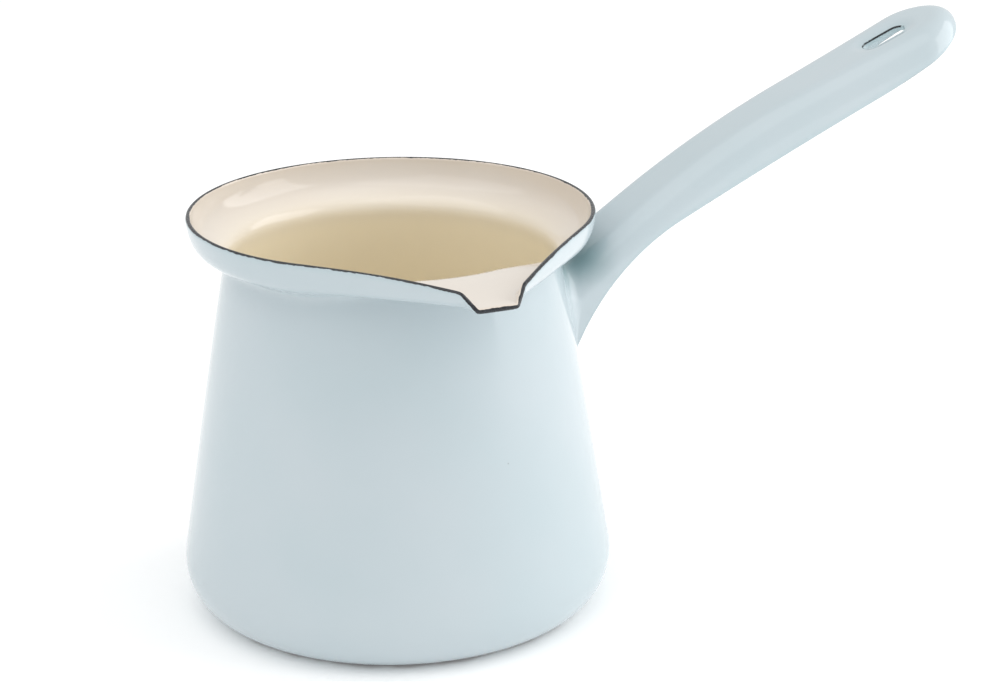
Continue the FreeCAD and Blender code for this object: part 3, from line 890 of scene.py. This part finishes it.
def set_look(tree, shader, base, roughness, normal):
    for socket, source in (("Base Color", base), ("Roughness", roughness), ("Normal", normal)):
        tree.links.new(source, shader.inputs[socket])


def bumped(tree, height, distance, strength, normal=None, sunk=False):
    """Normal of a surface that rises by distance millimetres where height is 1, or sinks."""
    links = {"Height": height, "Distance": distance * MM, "Strength": strength}
    if normal:
        links["Normal"] = normal
    return add(tree, "ShaderNodeBump", links, invert=sunk).outputs[0]


def new_finish(name):
    """Empty material: its tree, its shader and the place on the object in metres."""
    material = bpy.data.materials.new(name)
    material.use_nodes = True
    tree = material.node_tree
    tree.nodes.clear()
    shader = add(tree, "ShaderNodeBsdfPrincipled")
    add(tree, "ShaderNodeOutputMaterial", {"Surface": shader.outputs[0]})
    place = add(tree, "ShaderNodeTexCoord").outputs["Object"]
    return material, tree, shader, place


# %% [markdown]
# ## Vitreous enamel
#
# Enamel is glass fused to steel at about 820 degrees. It gives a deep, wet gloss with
# a reflection as sharp as a window's, so its roughness is low and its IOR that of glass,
# 1.5. It isn't quite flat: the melt draws itself into waves a centimetre long and into a
# finer peel like an orange's. Tiny gas bubbles leave pinholes, and the coat is uneven
# enough in thickness for its colour to drift a little.


# %% Enamel recipe
GLASS_IOR = 1.5
WAVE, PEEL = 11.0, 1.6
BARE = "1C1E22"
# heights and places in metres: where the neck is, below which the cream gets painted bounce light, and
# where the top of the handle's root is, which gets painted shade
NECK_BAND, ROOT_BAND, ROOT_TOP = (0.084, 0.096), (0.046, 0.058), (0.076, 0.086)


def enamel(name, body, thin, bare_to, ragged=0.22, deep=None, foot=False, pooled=None):
    """Coloured enamel. bare_to is how far the bare edge reaches.

    body and thin are its colours where the coat is thick and where it is thin. The colour for down in the
    pot is painted bounce light: brighter and yellower than the coat, below the neck. The colour for the
    handle's root is painted shade and reflection: a dark teal at the top of the root, where the flare
    shades it and the wall reflects in it.
    With foot, the bottom of the lowest corner turns dark too, in a ragged band.
    """
    material, tree, shader, place = new_finish(name)
    shader.inputs["IOR"].default_value = GLASS_IOR
    cloud = noise(tree, place, 38, 2.0)
    base = blend(tree, ramp(tree, cloud, 0.35, 0.75, 0.0, 0.35, "LINEAR"), body, thin)

    across, _, height = add(tree, "ShaderNodeSeparateXYZ", {0: place}).outputs
    # painted shade and reflection: a dark teal at the top of the handle's root, next to the wall, where the
    # flare shades it
    if pooled:
        near = ramp(tree, across, *ROOT_BAND, 1.0, 0.0)
        share = reckon(tree, "MULTIPLY", near, ramp(tree, height, *ROOT_TOP))
        base = blend(tree, share, base, pooled)
    if deep:
        # painted bounce light: below the neck the cream turns brighter and yellower, standing in for light
        # reflected about inside the pot
        base = blend(tree, ramp(tree, height, *NECK_BAND, 1.0, 0.0), base, deep)

    # the colour thins over the last two millimetres before a bare edge
    way = add(tree, "ShaderNodeAttribute", attribute_name="from_edge").outputs["Fac"]
    thinned = blend(tree, ramp(tree, way, 0.3, 2.2, 0.45, 0.0), base, thin)

    # ground coat creeps out by a ragged width: slow swells and small nicks
    both = reckon(tree, "ADD", noise(tree, place, 7, 1.0), noise(tree, place, 1.1, 2.0))
    reach = reckon(tree, "ADD", way, reckon(tree, "MULTIPLY_ADD", both, -2 * ragged, 2 * ragged))
    bare = ramp(tree, reach, bare_to - 0.05, bare_to + 0.05, 1.0, 0.0)
    # darker along the bottom of the lowest corner, in a ragged band
    if foot:
        lowest = reckon(tree, "MULTIPLY_ADD", both, -0.0011, height)
        bare = reckon(tree, "MAXIMUM", bare, ramp(tree, lowest, -0.0006, -0.0003, 1.0, 0.0))

    # pinholes: one small dark dot in a few of the cells of a coarse pattern
    cells = add(tree, "ShaderNodeTexVoronoi", {"Vector": place, "Scale": per_mm(13)})
    dot = reckon(tree, "LESS_THAN", cells.outputs["Distance"], 0.016)
    few = add(tree, "ShaderNodeSeparateColor", {0: cells.outputs["Color"]}).outputs[0]
    pinhole = reckon(tree, "MULTIPLY", dot, reckon(tree, "GREATER_THAN", few, 0.7))
    dark = reckon(tree, "MAXIMUM", bare, pinhole)

    gloss = ramp(tree, cloud, 0.3, 0.7, 0.07, 0.12, "LINEAR")
    rough = add(tree, "ShaderNodeMix", {0: dark, 2: gloss, 3: 0.3}).outputs[0]
    wavy = bumped(tree, noise(tree, place, WAVE, 1.0), 0.05, 1.0)
    peeled = bumped(tree, noise(tree, place, PEEL, 0.0), 0.0025, 1.0, wavy)
    sunk = bumped(tree, dark, 0.04, 0.6, peeled, sunk=True)
    set_look(tree, shader, blend(tree, dark, thinned, BARE), rough, sunk)
    return material


BLUE, BLUE_THIN = "BFCACF", "B0C3C8"
# the third cream is painted bounce light for below the neck, brighter and yellower than the coat
CREAM, CREAM_THIN, CREAM_DEEP = "DED6CC", "D5C7B7", "F9EFD6"
blue_enamel = enamel("gloss_enamel_duck_egg_blue", BLUE, BLUE_THIN, bare_to=0.56, foot=True)
cream_enamel = enamel("gloss_enamel_cream", CREAM, CREAM_THIN, bare_to=0.52, deep=CREAM_DEEP)
blue_pot_coat.data.materials.append(blue_enamel)
cream_pot_coat.data.materials.append(cream_enamel)
# the handle's blue gets a dark teal at the top of its root: painted shade from the flare and a painted
# reflection of the wall
handle_blue = enamel("gloss_enamel_duck_egg_blue_handle", BLUE, BLUE_THIN, bare_to=0.12, ragged=0.3,
                     pooled="7A989B")
blue_handle_coat.data.materials.append(handle_blue)
blue_channel_coat.data.materials.append(handle_blue)
print("enamel finishes made")

# %% [markdown]
# ## Ground coat
#
# The first coat is nearly black with cobalt, which makes it grip the steel. It is fired
# a little duller than the colours. Where it is left bare it is grainy with fine dark
# and blue-grey specks, and at the rim it has small chips that show paler edges.


# %% Ground coat finish
def ground_coat(name, covered, patch=9.0, tipward=False, bare_depth=None):
    """Bare ground coat. covered is the share of it that thin blue enamel still hides.

    With bare_depth it is bare only down to that depth in millimetres.
    """
    material, tree, shader, place = new_finish(name)
    shader.inputs["IOR"].default_value = GLASS_IOR
    speck = noise(tree, place, 0.5, 3.0)
    dark = blend(tree, ramp(tree, speck, 0.45, 0.75, 0.0, 0.6, "LINEAR"), BARE, "3A4048")
    level = noise(tree, place, patch, 3.0)
    if tipward:
        # the edge is barest at the tip, where the handle hung while it was fired
        along = add(tree, "ShaderNodeSeparateXYZ", {0: place}).outputs[0]
        level = reckon(tree, "SUBTRACT", level, ramp(tree, along, 0.12, 0.146, 0.0, 0.5, "LINEAR"))
    hidden = ramp(tree, level, 0.97 - covered, 1.03 - covered)
    if bare_depth:
        way = add(tree, "ShaderNodeAttribute", attribute_name="from_edge").outputs["Fac"]
        below = ramp(tree, way, bare_depth, bare_depth + 0.2, shape="LINEAR")
        hidden = reckon(tree, "MAXIMUM", hidden, below)
    rough = ramp(tree, speck, 0.3, 0.7, 0.18, 0.34, "LINEAR")
    set_look(tree, shader, blend(tree, hidden, dark, BLUE_THIN), rough, bumped(tree, speck, 0.02, 0.5))
    return material


bare_rim.data.materials.append(ground_coat("ground_coat_rim", covered=0.27))
bare_handle_edge.data.materials.append(ground_coat("ground_coat_handle_edge", covered=0.8, tipward=True))
slot_finish = ground_coat("ground_coat_slot", covered=0.45, patch=5.0, bare_depth=0.35)
bare_slot_edge.data.materials.append(slot_finish)


# %% [markdown]
# ## Ground coat on the base
#
# The base stands on the hob, so it is left in ground coat. Use rubs it: fine scratches
# run every way, and a ring near its edge, where the pot is slid about, is polished.


# %% Base finish
def base_coat(name):
    """Ground coat with flecks, scratches and a worn ring."""
    material, tree, shader, place = new_finish(name)
    shader.inputs["IOR"].default_value = GLASS_IOR
    speck = noise(tree, place, 0.9, 4.0)
    dark = blend(tree, ramp(tree, speck, 0.5, 0.72, shape="LINEAR"), "16181C", "39424D")
    out = add(tree, "ShaderNodeVectorMath", {0: place}, operation="LENGTH").outputs["Value"]
    ring = ramp(tree, out, 0.036, 0.041, 0.0, 0.5)
    links = {"Vector": place, "Scale": (1.0, 14.0, 1.0), "Rotation": (0, 0, 0.6)}
    stretched = add(tree, "ShaderNodeMapping", links).outputs[0]
    lines = noise(tree, stretched, 9, 5.0)
    worn = reckon(tree, "MAXIMUM", ring, ramp(tree, lines, 0.6, 0.66, 0.0, 0.5, "LINEAR"))
    rough = ramp(tree, worn, 0.0, 0.5, 0.22, 0.42, "LINEAR")
    set_look(tree, shader, blend(tree, worn, dark, "59616A"), rough, bumped(tree, speck, 0.03, 0.5))
    return material


def wear(node, material):
    """Gives a CAD node's own object one material."""
    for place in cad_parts[node].material_slots:
        place.material = material
    print(node, "wears", material.name)


wear("base_ground_coat", base_coat("ground_coat_base"))


# %% [markdown]
# ## Pressed steel and weld metal
#
# Under the glass is low-carbon steel. The press draws it out, which leaves faint lines
# along the draw, and pickling before enamelling turns it an even matt grey. The weld
# bead is rougher and darker. Neither shows on a sound pot, but a chip would show them.


# %% Steel finishes
def pickled_steel(name, shade, line_size, roughness):
    """Matt steel with lines along the draw, line_size millimetres apart."""
    material, tree, shader, place = new_finish(name)
    shader.inputs["Metallic"].default_value = 1.0
    upright = add(tree, "ShaderNodeMapping", {"Vector": place, "Scale": (1.0, 1.0, 0.08)}).outputs[0]
    drawn = noise(tree, upright, line_size, 3.0)
    rough = ramp(tree, drawn, 0.3, 0.7, roughness - 0.06, roughness + 0.06, "LINEAR")
    set_look(tree, shader, blend(tree, drawn, shade, "A9A8A6"), rough, bumped(tree, drawn, 0.01, 0.4))
    return material


steel = pickled_steel("pickled_low_carbon_steel", "7E7F82", 0.6, 0.42)
wear("pot_shell", steel)
handle_pressing.data.materials.append(steel)
bead.data.materials.append(pickled_steel("weld_metal", "5C5B5C", 1.5, 0.55))

# %% [markdown]
# ## Floor and light
#
# A white gloss object is a mirror for its surroundings, so light it with big soft
# shapes. A pale sky fills everything. A wide soft box stands to the right and brightens
# that side of the wall, and a second one hangs above, to the left, so that the flare
# throws its shadow on the root of the handle.


# %% Floor
def make_floor():
    """White paper, which glows a little as if it were lit from behind."""
    half = 2.5
    mesh = bpy.data.meshes.new("floor")
    corners = [(-half, -half, 0), (half, -half, 0), (half, half, 0), (-half, half, 0)]
    mesh.from_pydata([Vector(corner) for corner in corners], [], [(0, 1, 2, 3)])
    plane = bpy.data.objects.new("floor", mesh)
    bpy.context.scene.collection.objects.link(plane)
    material, tree, shader, place = new_finish("white_paper_sweep")
    tone = blend(tree, noise(tree, place, 2, 3.0), "FCFCFC", "F8F9F9")
    tree.links.new(tone, shader.inputs["Base Color"])
    shader.inputs["Roughness"].default_value = 0.8
    shader.inputs["Specular IOR Level"].default_value = 0.1
    shader.inputs["Emission Color"].default_value = colour("FFFFFF")
    shader.inputs["Emission Strength"].default_value = 0.1
    mesh.materials.append(material)


make_floor()

# %% Light
world = bpy.data.worlds.new("pale_sky")
world.use_nodes = True
sky = world.node_tree.nodes["Background"]
sky.inputs["Color"].default_value = colour("F7F7F7")
sky.inputs["Strength"].default_value = 0.8
bpy.context.scene.world = world
bpy.context.scene.view_settings.view_transform = "Standard"
POT_MIDDLE = Vector((0, 0, RIM_Z / 2)) * MM


def soft_box(name, place, size, power):
    """Square area light that faces the pot. Its place is in metres from the pot's axis."""
    light = bpy.data.lights.new(name, "AREA")
    light.size = size
    light.energy = power
    lamp = bpy.data.objects.new(name, light)
    lamp.location = Vector(place)
    lamp.rotation_mode = "QUATERNION"
    lamp.rotation_quaternion = (POT_MIDDLE - lamp.location).to_track_quat("-Z", "Y")
    bpy.context.scene.collection.objects.link(lamp)


soft_box("right_box", (1.2, -0.4, 0.65), 1.4, 12.0)
soft_box("top_box", (-0.5, -0.1, 1.05), 1.5, 5.5)

# %% [markdown]
# ## The camera
#
# The camera stands about 0.6 m from the pot, a little above it, with the lip turned
# slightly towards it and the handle reaching away to the right. Its direction is
# written as a heading, a pitch and a small roll, and turned into a rotation matrix.

# %% Camera
CAMERA_PLACE = Vector((-0.2147, -0.5742, 0.27565))
HEADING = math.radians(23.02)
PITCH = math.radians(18.91)
ROLL_ANGLE = -0.008
forward = Vector((math.sin(HEADING), math.cos(HEADING), -math.tan(PITCH))).normalized()
level_right = Vector((math.cos(HEADING), -math.sin(HEADING), 0))
level_up = level_right.cross(forward)
right = level_right * math.cos(ROLL_ANGLE) + level_up * math.sin(ROLL_ANGLE)
up = right.cross(forward)

lens = bpy.data.cameras.new("camera")
lens.sensor_width = 36.0
lens.lens = 93.8
lens.shift_x, lens.shift_y = -0.0024, 0.0031
lens.clip_start, lens.clip_end = 0.01, 20.0
camera = bpy.data.objects.new("camera", lens)
camera.matrix_world = Matrix.Translation(CAMERA_PLACE) @ Matrix((right, up, -forward)).transposed().to_4x4()
bpy.context.scene.collection.objects.link(camera)
bpy.context.scene.camera = camera
print("the camera is", round(CAMERA_PLACE.length, 2), "m from the pot's foot")
